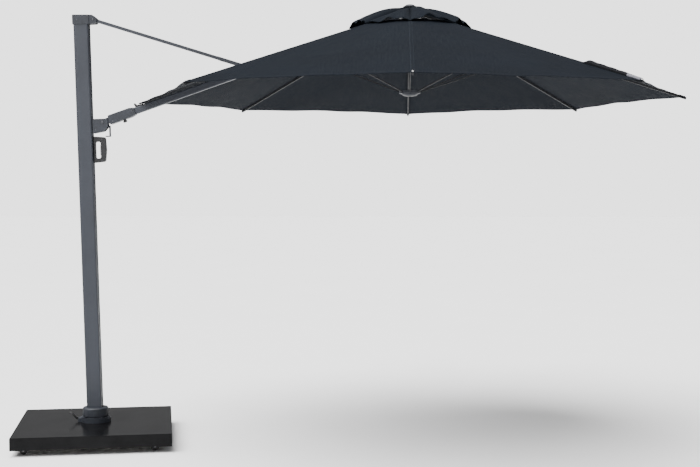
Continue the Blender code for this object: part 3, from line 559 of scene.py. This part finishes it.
def cloth_lift(reach, u, panel):
    """Height of the main cloth's underside over the plane of the rib hinges."""
    slack = SAG * dip(u) * (reach / CANOPY_RADIUS) ** 1.5
    edge = math.exp(-((CANOPY_RADIUS - reach) / 0.22) ** 2)
    rays = 0.0022 * edge * math.sin(u * math.pi * 6) * dip(u) ** 0.5
    drift = noise.noise(Vector((reach * 1.9, u * 2.2, panel * 7.3)))
    fine = noise.noise(Vector((reach * 5.5, u * 9.0, panel * 3.1)))
    soft = dip(u) * (0.0060 * drift + 0.0016 * fine)
    return ridge_height(reach) - slack - rays + soft - corner_drop(reach, panel + u)


def flap_lift(reach, u, panel):
    """Height of the vent flap: gathered under the cap, tied down at the ribs, puffed up between them."""
    t = (reach - FLAP_BORE) / (FLAP - FLAP_BORE)
    neck = 0.0150 * math.exp(-(t / 0.10) ** 2)
    pleats = 0.0016 * math.sin(u * math.pi * 8) * math.exp(-((t - 0.06) / 0.10) ** 2)
    strength = 0.058 + 0.024 * noise.noise(Vector((panel * 5.7, 0.3, 0.9)))
    puff = strength * dip(u) ** 0.75 * (0.50 * math.sin(math.pi * t ** 0.8) + 0.60 * t)
    lean = 0.010 * math.sin(u * math.pi * 2 + panel * 1.9) * dip(u) * t
    wave = 0.0090 * math.sin(u * math.pi * 5 + panel * 1.3) * dip(u) * t ** 2
    rim = 0.010 * max(0.0, (t - 0.9) / 0.1) ** 2
    return ridge_height(reach) + 0.0070 + neck + pleats + puff + lean + wave - rim * dip(u)


def sheet_mesh(number, inner, outer_at, lift, thick_at, rows):
    """One panel as a closed thin solid, its ridge on a rib; UVs in metres."""
    bm = bmesh.new()
    uv = bm.loops.layers.uv.new("metres")
    radial, tangent = rib_direction(number), rib_tangent(number)
    top, low, flat = [], [], {}
    for row in range(rows + 1):
        top.append([])
        low.append([])
        for column in range(COLUMNS + 1):
            side = 2 * column / COLUMNS - 1
            share = abs(side) ** 1.15
            angle = math.copysign(share, side) * HALF_PANEL
            panel = number if side >= 0 else (number - 1) % RIBS
            u = share / 2 if side >= 0 else 1 - share / 2
            outer = outer_at(u)
            reach = inner + (outer - inner) * (row / rows)
            radius = polygon_radius(reach, angle)
            x, y = radius * math.cos(angle), radius * math.sin(angle)
            z = lift(reach, u, panel)
            point = HUB + radial * x + tangent * y
            thick = thick_at(reach, outer, inner)
            under = bm.verts.new(point + Vector((0, 0, z)))
            over = bm.verts.new(point + Vector((0, 0, z + thick)))
            flat[under], flat[over] = (y, x / math.cos(RIB_SLOPE)), (y, x / math.cos(RIB_SLOPE))
            top[-1].append(over)
            low[-1].append(under)
    faces = []
    for row in range(rows):
        for column in range(COLUMNS):
            a, b = (row, column), (row + 1, column)
            c, d = (row + 1, column + 1), (row, column + 1)
            faces.append([top[i][j] for i, j in (a, b, c, d)])
            faces.append([low[i][j] for i, j in (d, c, b, a)])
    border = [(r, 0) for r in range(rows)] + [(rows, c) for c in range(COLUMNS)]
    border += [(r, COLUMNS) for r in range(rows, 0, -1)] + [(0, c) for c in range(COLUMNS, 0, -1)]
    for (r0, c0), (r1, c1) in zip(border, border[1:] + border[:1]):
        faces.append([top[r0][c0], low[r0][c0], low[r1][c1], top[r1][c1]])
    for corners in faces:
        face = bm.faces.new(corners)
        for loop in face.loops:
            loop[uv].uv = flat[loop.vert]
    return bm


def hold_cloth(obj, number):
    """Ride the gore's rib as the umbrella closes."""
    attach(obj, rib_body(number))
    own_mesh(obj)


def hem_thickness(reach, outer, inner):
    """The folded hem at the rim and at the vent is twice as thick."""
    edge = min(outer - reach, reach - inner)
    return CLOTH_THICK * (1.0 + 1.2 * max(0.0, min(1.0, (HEM - edge) / 0.006)))


def flap_thickness(reach, outer, _inner):
    return CLOTH_THICK * (2.2 if outer - reach < FLAP_HEM else 1.0)


def make_cloth():
    """Eight panels that meet on the ribs' ridges, and the vent flap over their opening."""
    for number in range(RIBS):
        bm = sheet_mesh(number, VENT, lambda u: CANOPY_RADIUS - RIM_BACK - SCALLOP * dip(u), cloth_lift,
                        hem_thickness, ROWS)
        gore = make_object(f"canopy_panel_{number}", bm, CLOTH, CREASE)
        if number == BOOM_GORE:
            gore = cut_stay_slit(gore)
        hold_cloth(gore, number)
        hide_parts(f"gore_{number}")
        bm = sheet_mesh(number, FLAP_BORE, lambda u: FLAP - FLAP_SCALLOP * dip(u), flap_lift,
                        flap_thickness, FLAP_ROWS)
        flap = make_object(f"vent_flap_{number}", bm, CLOTH, CREASE)
        hold_cloth(flap, number)


def slit_centre():
    """Where the stay passes through the cloth over the boom."""
    cloth_at_mast = HUB.z + CLOTH_LOW - (HUB.x - HINGE_RADIUS) * RIB_TAN
    fall = -STAY_AXIS.z / STAY_AXIS.x
    x = (STAY_PIN.z + fall * STAY_PIN.x - cloth_at_mast) / (RIB_TAN + fall)
    return Vector((x, 0, cloth_at_mast + RIB_TAN * x))


def cut_stay_slit(gore):
    """Cut the opening for the stay; the panel keeps its own object."""
    centre = slit_centre()
    bm = oval_prism(SLIT_LENGTH, SLIT_WIDTH, SLIT_DEEP)
    place(bm, centre, (-RIB_TAN, 0, 1), (1, 0, RIB_TAN))
    tool = make_object("slit_tool", bm, CLOTH)
    modifier = gore.modifiers.new("slit", "BOOLEAN")
    modifier.operation = "DIFFERENCE"
    modifier.solver = "EXACT"
    modifier.object = tool
    depsgraph = bpy.context.evaluated_depsgraph_get()
    gore.data = bpy.data.meshes.new_from_object(gore.evaluated_get(depsgraph))
    gore.modifiers.clear()
    bpy.data.objects.remove(tool, do_unlink=True)
    return gore


def oval_outline(length, width, steps=8):
    """A rectangle with fully rounded corners, round the origin."""
    corner = width * 0.45
    points = []
    for quarter, (sx, sy) in enumerate([(1, 1), (-1, 1), (-1, -1), (1, -1)]):
        for step in range(steps + 1):
            angle = math.pi / 2 * (quarter + step / steps)
            points.append((sx * (length / 2 - corner) + corner * math.cos(angle),
                           sy * (width / 2 - corner) + corner * math.sin(angle)))
    return points


def oval_prism(length, width, height):
    bm = bmesh.new()
    outline = oval_outline(length, width)
    low = [bm.verts.new((x, y, -height / 2)) for x, y in outline]
    high = [bm.verts.new((x, y, height / 2)) for x, y in outline]
    for i in range(len(outline)):
        j = (i + 1) % len(outline)
        bm.faces.new((low[i], low[j], high[j], high[i]))
    bm.faces.new(low)
    bm.faces.new(high)
    return bm


def make_slit_binding():
    """A stitched band of cloth round the stay's opening."""
    centre = slit_centre()
    inner = oval_outline(SLIT_LENGTH - BINDING_IN, SLIT_WIDTH - BINDING_IN)
    outer = oval_outline(SLIT_LENGTH + BINDING_OUT, SLIT_WIDTH + BINDING_OUT)
    bm = bmesh.new()
    uv = bm.loops.layers.uv.new("metres")
    rings = []
    for outline, low, high in ((inner, 0.0008, 0.0034), (outer, 0.0012, 0.0024)):
        ring = []
        for x, y in outline:
            drop = -abs(y) * RIB_TAN * math.tan(HALF_PANEL)
            ring.append((bm.verts.new((x, y, drop + low)), bm.verts.new((x, y, drop + high))))
        rings.append(ring)
    count = len(inner)
    for i in range(count):
        j = (i + 1) % count
        a, b, c, d = rings[0][i], rings[0][j], rings[1][j], rings[1][i]
        for corners in ((a[1], b[1], c[1], d[1]), (a[0], d[0], c[0], b[0]), (a[0], b[0], b[1], a[1]),
                        (d[0], d[1], c[1], c[0])):
            face = bm.faces.new(corners)
            for loop in face.loops:
                loop[uv].uv = (loop.vert.co.y, loop.vert.co.x)
    place(bm, centre + Vector((0, 0, 0.0002)), (-RIB_TAN, 0, 1), (1, 0, RIB_TAN))
    binding = make_object("stay_slit_binding", bm, CLOTH)
    hold_cloth(binding, BOOM_GORE)


def ridge_strip(number, start, end, half_width, rise, thick, swell=None, steps=60):
    """A narrow band that lies over the ridge of a gore; swell makes it thicker along its length."""
    bm = bmesh.new()
    uv = bm.loops.layers.uv.new("metres")
    radial, tangent = rib_direction(number), rib_tangent(number)
    fall = RIB_TAN * math.tan(HALF_PANEL)
    sections = []
    for step in range(steps + 1):
        reach = start + (end - start) * step / steps
        base = ridge_height(reach) + CLOTH_THICK + rise - corner_drop(reach, number)
        section = []
        for y in (-half_width, -half_width / 2, 0, half_width / 2, half_width):
            drop = abs(y) * fall
            point = HUB + radial * reach + tangent * y
            section.append((point + Vector((0, 0, base - drop)), y, reach))
        sections.append(section)
    low = [[bm.verts.new(p) for p, _, _ in s] for s in sections]
    high = []
    for section in sections:
        height = thick + (swell(section[0][2]) if swell else 0.0)
        high.append([bm.verts.new(point + Vector((0, 0, height * (0.5 if i in (0, 4) else 1.0))))
                     for i, (point, _, _) in enumerate(section)])
    flat = {}
    for rows in (low, high):
        for section, verts in zip(sections, rows):
            for (_, y, reach), vert in zip(section, verts):
                flat[vert] = (y, reach)
    faces = []
    for r in range(steps):
        for c in range(4):
            faces.append((high[r][c], high[r][c + 1], high[r + 1][c + 1], high[r + 1][c]))
            faces.append((low[r][c], low[r + 1][c], low[r + 1][c + 1], low[r][c + 1]))
        for c in (0, 4):
            faces.append((low[r][c], low[r + 1][c], high[r + 1][c], high[r][c]))
    for r in (0, steps):
        for c in range(4):
            faces.append((low[r][c], low[r][c + 1], high[r][c + 1], high[r][c]))
    for corners in faces:
        face = bm.faces.new(corners)
        for loop in face.loops:
            loop[uv].uv = flat[loop.vert]
    return bm


def make_seams():
    """A stitched tape over every panel seam, broken on the boom where the stay comes through."""
    centre = slit_centre()
    gap_from = HUB.x - centre.x - SLIT_LENGTH / 2 - TAPE_GAP
    gap_to = HUB.x - centre.x + SLIT_LENGTH / 2 + TAPE_GAP
    first, last = VENT + 0.004, CANOPY_RADIUS - 0.010
    for number in range(RIBS):
        spans = [(first, last)]
        if number == BOOM_GORE:
            spans = [(first, gap_from), (gap_to, last)]
        for part, (start, end) in enumerate(spans):
            tape = make_object(f"seam_tape_{number}_{part}",
                               ridge_strip(number, start, end, TAPE_HALF, TAPE_RISE, TAPE_THICK), SEAM_CLOTH)
            hold_cloth(tape, number)


# ---------------------------------------------------------------- canopy corners, strap and tag
def make_corner_pocket(number):
    """A sewn pocket that slips over the rib's end, with its rivet, whose pale grey is a painted highlight."""
    radial, tangent = rib_direction(number), rib_tangent(number)
    along = (radial - Vector((0, 0, RIB_TAN))).normalized()
    up = tangent.cross(along) * -1
    if up.z < 0:
        up = -up
    end = CANOPY_RADIUS - 0.004
    tip = HUB + radial * end + Vector((0, 0, ridge_height(end) - corner_drop(end, number)))
    length, half = 0.044, 0.0105
    deep = 0.010 if number == BOOM_GORE else 0.0190
    bm = bmesh.new()
    uv = bm.loops.layers.uv.new("metres")
    stations, around = 9, 14
    rings = []
    for s in range(stations):
        share = s / (stations - 1)
        swell = 1.0 - 0.30 * share ** 3 - (0.22 if s == stations - 1 else 0)
        mouth = 0.82 + 0.18 * min(1.0, share * 4)
        ring = []
        for a in range(around):
            angle = 2 * math.pi * a / around
            c, d = math.cos(angle), math.sin(angle)
            squareness = (abs(c) ** 4 + abs(d) ** 4) ** -0.25
            y = half * c * squareness * swell * mouth
            z = (deep / 2) * d * squareness * swell
            ring.append(bm.verts.new(tip + along * (-length * (1 - share)) + tangent * y
                                     + up * (z - deep / 2 + 0.0042)))
        rings.append(ring)
    for low, high in zip(rings, rings[1:]):
        for a in range(around):
            b = (a + 1) % around
            bm.faces.new((low[a], low[b], high[b], high[a]))
    bm.faces.new(rings[0])
    bm.faces.new(rings[-1])
    for face in bm.faces:
        for loop in face.loops:
            offset = loop.vert.co - tip
            loop[uv].uv = (offset.dot(tangent), offset.dot(along))
    pocket = make_object(f"corner_pocket_{number}", bm, STRAP, 60)
    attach(pocket, rib_body(number))
    if number == BOOM_GORE:
        return
    head = dome_head(0.0058, 0.0030)
    place(head, tip - along * 0.009 + up * 0.0034, up)
    # Pale rivet head: its colour is a painted highlight for the glint at the rib's tip.
    detail(f"corner_rivet_{number}", head, RIVET_PAINTED_HIGHLIGHT, rib_body(number), "dark_plastic")


STRAP_GORE = 7


def make_closing_strap():
    """The strap that ties the closed canopy, folded back on the ridge of one gore, with a plain tag."""
    start, end, tag_end = 1.360, 1.652, 1.736

    def bundle(reach):
        share = (reach - start) / (end - start)
        return 0.0205 * min(1.0, share / 0.13) * (1 - 0.40 * share) + 0.0010 * math.sin(reach * 90)

    bm = ridge_strip(STRAP_GORE, start, end, 0.021, 0.0010, 0.0020, bundle, 40)
    strap = make_object("closing_strap", bm, STRAP)
    hold_cloth(strap, STRAP_GORE)
    bm = ridge_strip(STRAP_GORE, end + 0.001, tag_end, 0.019, 0.0010, 0.0035,
                     lambda reach: 0.0100 - 0.0040 * (reach - end) / (tag_end - end), 14)
    tag = make_object("plain_tag", bm, TAG)
    hold_cloth(tag, STRAP_GORE)


# ---------------------------------------------------------------- hardware details
BOLT_CIRCLE = 0.078
FLANGE_TOP = FOOT.z + 0.010


def make_foot_bolts():
    """Four hexagon bolts on the corners of the foot's flange, square to the base."""
    yaw = math.atan2(-WHEEL_AXIS.x, WHEEL_AXIS.y)
    for quarter in range(4):
        angle = yaw + math.pi / 4 + math.pi / 2 * quarter
        spot = Vector((FOOT.x + BOLT_CIRCLE * math.cos(angle), BOLT_CIRCLE * math.sin(angle),
                       FLANGE_TOP + 0.0003))
        bm = place(hex_bolt(0.0125, 0.0065, 0.0088), spot, (0, 0, 1))
        detail(f"foot_bolt_{quarter + 1}", bm, STEEL, "base", "steel")


def make_pin_heads():
    """Socket heads on both ends of the stay pin, the boom pin and the trunnions."""
    spots = [("stay_pin_head", STAY_PIN, 0.0330, "mast", 0.0075),
             ("boom_pin_head", BOOM_PIN, 0.0285, "carriage", 0.0085),
             ("trunnion_head", STAY_END, 0.0405, "boom_carrier", 0.0070)]
    for name, spot, reach, body, radius in spots:
        for side in (-1, 1):
            bm = socket_screw(radius, 0.0036)
            place(bm, spot + Vector((0, side * reach, 0)), (0, side, 0))
            detail(f"{name}_{'front' if side < 0 else 'back'}", bm, DARK_STEEL, body, "steel")


def make_body_screws():
    """Small socket screws in the housing, the handle, the cap and the bracket."""
    cap_low, cap_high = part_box("mast_cap")
    rows = [
        ("housing_screw", "boom_carrier", BOOM_PIN + BOOM_AXIS * 0.207 + BOOM_UP * 0.006, 0.026, 0.0042),
        ("housing_screw_low", "boom_carrier", BOOM_PIN + BOOM_AXIS * 0.066 - BOOM_UP * 0.016, 0.026, 0.0042),
        ("handle_screw_top", "carriage", BOOM_PIN - MAST_OUT * 0.010 - MAST_UP * 0.110, 0.014, 0.0036),
        ("handle_screw_low", "carriage", BOOM_PIN - MAST_OUT * 0.012 - MAST_UP * 0.246, 0.014, 0.0036),
        ("bracket_screw", "carriage", BOOM_PIN - MAST_OUT * 0.046 - MAST_UP * 0.050, 0.026, 0.0042),
        ("cap_screw", "mast", Vector((cap_low.x + 0.030, 0, cap_low.z + 0.030)), cap_high.y, 0.0042),
    ]
    for name, body, spot, reach, radius in rows:
        for side in (-1, 1):
            bm = socket_screw(radius, 0.0022)
            place(bm, Vector((spot.x, side * reach, spot.z)), (0, side, 0))
            detail(f"{name}_{'front' if side < 0 else 'back'}", bm, DARK_STEEL, body, "steel")


def make_tilt_knob():
    """A fluted knob in place of the plain one under the boom's housing."""
    centre = joint_at("knob_turn")
    out = joint_axis("knob_turn")
    steps = 96
    bm = bmesh.new()
    levels = [(0.0080, 0.0002, 0), (0.0080, 0.0050, 0), (0.0125, 0.0060, 0.3), (0.0136, 0.0080, 1.0),
              (0.0136, 0.0138, 1.0), (0.0125, 0.0162, 0.6), (0.0098, 0.0176, 0)]
    rings = []
    for radius, z, flute in levels:
        ring = []
        for i in range(steps):
            angle = 2 * math.pi * i / steps
            reach = radius - 0.0009 * flute * (0.5 - 0.5 * math.cos(angle * 12)) ** 2
            ring.append(bm.verts.new((reach * math.cos(angle), reach * math.sin(angle), z)))
        rings.append(ring)
    for low, high in zip(rings, rings[1:]):
        for i in range(steps):
            j = (i + 1) % steps
            bm.faces.new((low[i], low[j], high[j], high[i]))
    bm.faces.new(rings[0])
    bm.faces.new(rings[-1])
    place(bm, centre, out)
    detail("tilt_knob", bm, BLACK, "knob", "black_plastic", ["lock_knob"], 30)


def make_finial():
    """The turned cap on top of the canopy: a waist, a rolled edge, a shallow dome and its screw."""
    low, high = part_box("finial")
    rim = (high.x - low.x) / 2
    edge = high.z - HUB.z - 0.0200
    profile = [(0, 0.0135), (0.0055, 0.0135), (0.0055, edge), (rim * 0.62, edge), (rim * 0.97, edge - 0.0010)]
    profile += [(rim - 0.004 + 0.004 * math.cos(a), edge + 0.0030 + 0.0040 * math.sin(a))
                for a in [math.radians(d) for d in (-60, -20, 20, 60)]]
    profile += [(rim * 0.86, edge + 0.0080), (rim * 0.80, edge + 0.0078), (rim * 0.76, edge + 0.0105),
                (rim * 0.62, edge + 0.0150), (rim * 0.42, edge + 0.0180), (rim * 0.22, edge + 0.0190),
                (rim * 0.20, edge + 0.0176), (0, edge + 0.0176)]
    bm = revolve(profile, 64)
    bmesh.ops.translate(bm, vec=HUB, verts=bm.verts)
    detail("finial_cap", bm, HOUSING, "hub", "dark_plastic", ["finial"], 30)
    bm = place(socket_screw(0.0062, 0.0022), HUB + Vector((0, 0, edge + 0.0176)), (0, 0, 1))
    detail("finial_screw", bm, STEEL, "hub", "steel")


def make_castor_wheels():
    """Rounded tyres with a recessed hub disc and an axle cap on each side."""
    for number in range(1, 5):
        low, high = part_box(f"caster_wheel_{number}")
        centre = (low + high) / 2
        radius = (high.z - low.z) / 2
        half = 0.009
        arc = [math.radians(d) for d in (-90, -60, -30, 0, 30, 60, 90)]
        side = 0.0035
        rim = [(radius - side + side * math.cos(a), side * math.sin(a)) for a in arc]
        lower = [(r, z - half + side) for r, z in rim if z <= 0]
        upper = [(r, z + half - side) for r, z in rim if z >= 0]
        profile = [(0, -half + 0.0015), (radius * 0.55, -half + 0.0015), (radius * 0.60, -half)] + lower
        profile += upper + [(radius * 0.60, half), (radius * 0.55, half - 0.0015), (0, half - 0.0015)]
        bm = place(revolve(profile, 48), centre, WHEEL_AXIS)
        detail(f"castor_tyre_{number}", bm, RUBBER, f"wheel_{number}", "rubber",
               [f"caster_wheel_{number}"], 30)
        for way in (-1, 1):
            bm = dome_head(0.0042, 0.0022)
            place(bm, centre + WHEEL_AXIS * way * 0.0126, WHEEL_AXIS * way)
            detail(f"castor_axle_{number}_{'a' if way < 0 else 'b'}", bm, STEEL, f"caster_{number}", "steel")


def make_strut_rivets():
    """Both heads of the rivet that joins each strut to its rib."""
    for number in range(RIBS):
        if number == BOOM_GORE:
            continue
        tangent = rib_tangent(number)
        spot = joint_at(f"strut_fold_{number}")
        for way in (-1, 1):
            bm = place(dome_head(0.0036, 0.0018, 16), spot + tangent * way * 0.0050, tangent * way)
            detail(f"strut_rivet_{number}_{'a' if way < 0 else 'b'}", bm, STEEL, f"rib_{number}", "steel")


def make_runner_cap():
    """A turned cap under the runner with a moulded ring."""
    low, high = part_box("runner")
    centre = Vector(((low.x + high.x) / 2, 0, low.z))
    profile = [(0, -0.0003), (0.030, -0.0003), (0.030, -0.0015), (0.026, -0.0032), (0.012, -0.0036),
               (0.011, -0.0026), (0, -0.0026)]
    bm = revolve(profile, 48)
    bmesh.ops.translate(bm, vec=centre, verts=bm.verts)
    detail("runner_cap", bm, BLACK, "runner", "black_plastic", smooth_angle=30)


make_eased_pieces()
make_cloth()
make_slit_binding()
make_seams()
for rib_number in range(RIBS):
    make_corner_pocket(rib_number)
make_closing_strap()
make_foot_bolts()
make_pin_heads()
make_body_screws()
make_tilt_knob()
make_finial()
make_castor_wheels()
make_strut_rivets()
make_runner_cap()


# ---------------------------------------------------------------- stage, light, camera
BACKDROP = 2.52                # the surround as the camera sees it; the far floor is as bright
FLOOR_HALF = 60
SUN_TURN = (math.radians(16), math.radians(-18), 0)
SUN_STRENGTH, SUN_SPREAD = 8.0, 60
KEY_FROM, KEY_TO = (HUB.x - 3.5, -6.5, 4.5), (HUB.x - 1.5, 0, 1.5)
KEY_SIZE, KEY_POWER = 4.0, 160
CAMERA_AT = (FOOT.x + 1.978, -7.835, 1.645)
CAMERA_TURN = (math.pi / 2 - 0.0382, 0, 0.0405)
CAMERA_LENS = 62.75


def make_stage():
    """A pale plain floor at the base's foot."""
    n = Nodes("pale_floor")
    tone = n.tint((0.93, 0.93, 0.93), n.noise(0.6, 2), 0.01)
    n.finish(tone, n.spread(n.noise(2), 0.55, 0.65))
    bm = bmesh.new()
    bmesh.ops.create_grid(bm, x_segments=1, y_segments=1, size=FLOOR_HALF)
    floor = make_object("studio_floor", bm, n.material)
    floor.location.z = cad_box[0][2]


def make_sun():
    """A broad soft light from above, a little from the front and from the mast's side."""
    data = bpy.data.lights.new("sky_softbox", "SUN")
    data.energy = SUN_STRENGTH
    data.angle = math.radians(SUN_SPREAD)
    sun = bpy.data.objects.new("sky_softbox", data)
    sun.rotation_euler = SUN_TURN
    bpy.context.scene.collection.objects.link(sun)


def make_key():
    """A soft round light in front of the mast."""
    data = bpy.data.lights.new("key", "AREA")
    data.shape = "DISK"
    data.size = KEY_SIZE
    data.energy = KEY_POWER
    light = bpy.data.objects.new("key", data)
    light.location = KEY_FROM
    direction = Vector(KEY_TO) - Vector(KEY_FROM)
    light.rotation_euler = direction.to_track_quat("-Z", "Y").to_euler()
    bpy.context.scene.collection.objects.link(light)


def make_world():
    """Pale surround for the eye; a dimmer one, darkest at the horizon, lights the object."""
    world = bpy.data.worlds.new("studio")
    bpy.context.scene.world = world
    world.use_nodes = True
    tree = world.node_tree
    shade = tree.nodes["Background"]
    coords = tree.nodes.new("ShaderNodeTexCoord")
    split = tree.nodes.new("ShaderNodeSeparateXYZ")
    tree.links.new(coords.outputs["Generated"], split.inputs["Vector"])
    ramp = tree.nodes.new("ShaderNodeValToRGB")
    ramp.color_ramp.elements[0].position = 0.0
    ramp.color_ramp.elements[0].color = (0.06, 0.06, 0.065, 1)
    ramp.color_ramp.elements[1].position = 0.75
    ramp.color_ramp.elements[1].color = (1.0, 1.0, 1.0, 1)
    tree.links.new(split.outputs["Z"], ramp.inputs["Fac"])
    path = tree.nodes.new("ShaderNodeLightPath")
    mix = tree.nodes.new("ShaderNodeMix")
    mix.data_type = "RGBA"
    tree.links.new(path.outputs["Is Camera Ray"], mix.inputs["Factor"])
    tree.links.new(ramp.outputs["Color"], mix.inputs[6])
    mix.inputs[7].default_value = (BACKDROP, BACKDROP, BACKDROP, 1)
    tree.links.new(mix.outputs[2], shade.inputs["Color"])
    shade.inputs["Strength"].default_value = 1.0


def make_camera():
    """Eye-level view from the open side, a little right of the mast, that looks down by two degrees."""
    data = bpy.data.cameras.new("camera")
    data.sensor_width = 36
    data.lens = CAMERA_LENS
    camera = bpy.data.objects.new("camera", data)
    camera.location = CAMERA_AT
    camera.rotation_euler = CAMERA_TURN
    bpy.context.scene.collection.objects.link(camera)
    bpy.context.scene.camera = camera


make_stage()
make_world()
make_sun()
make_key()
make_camera()
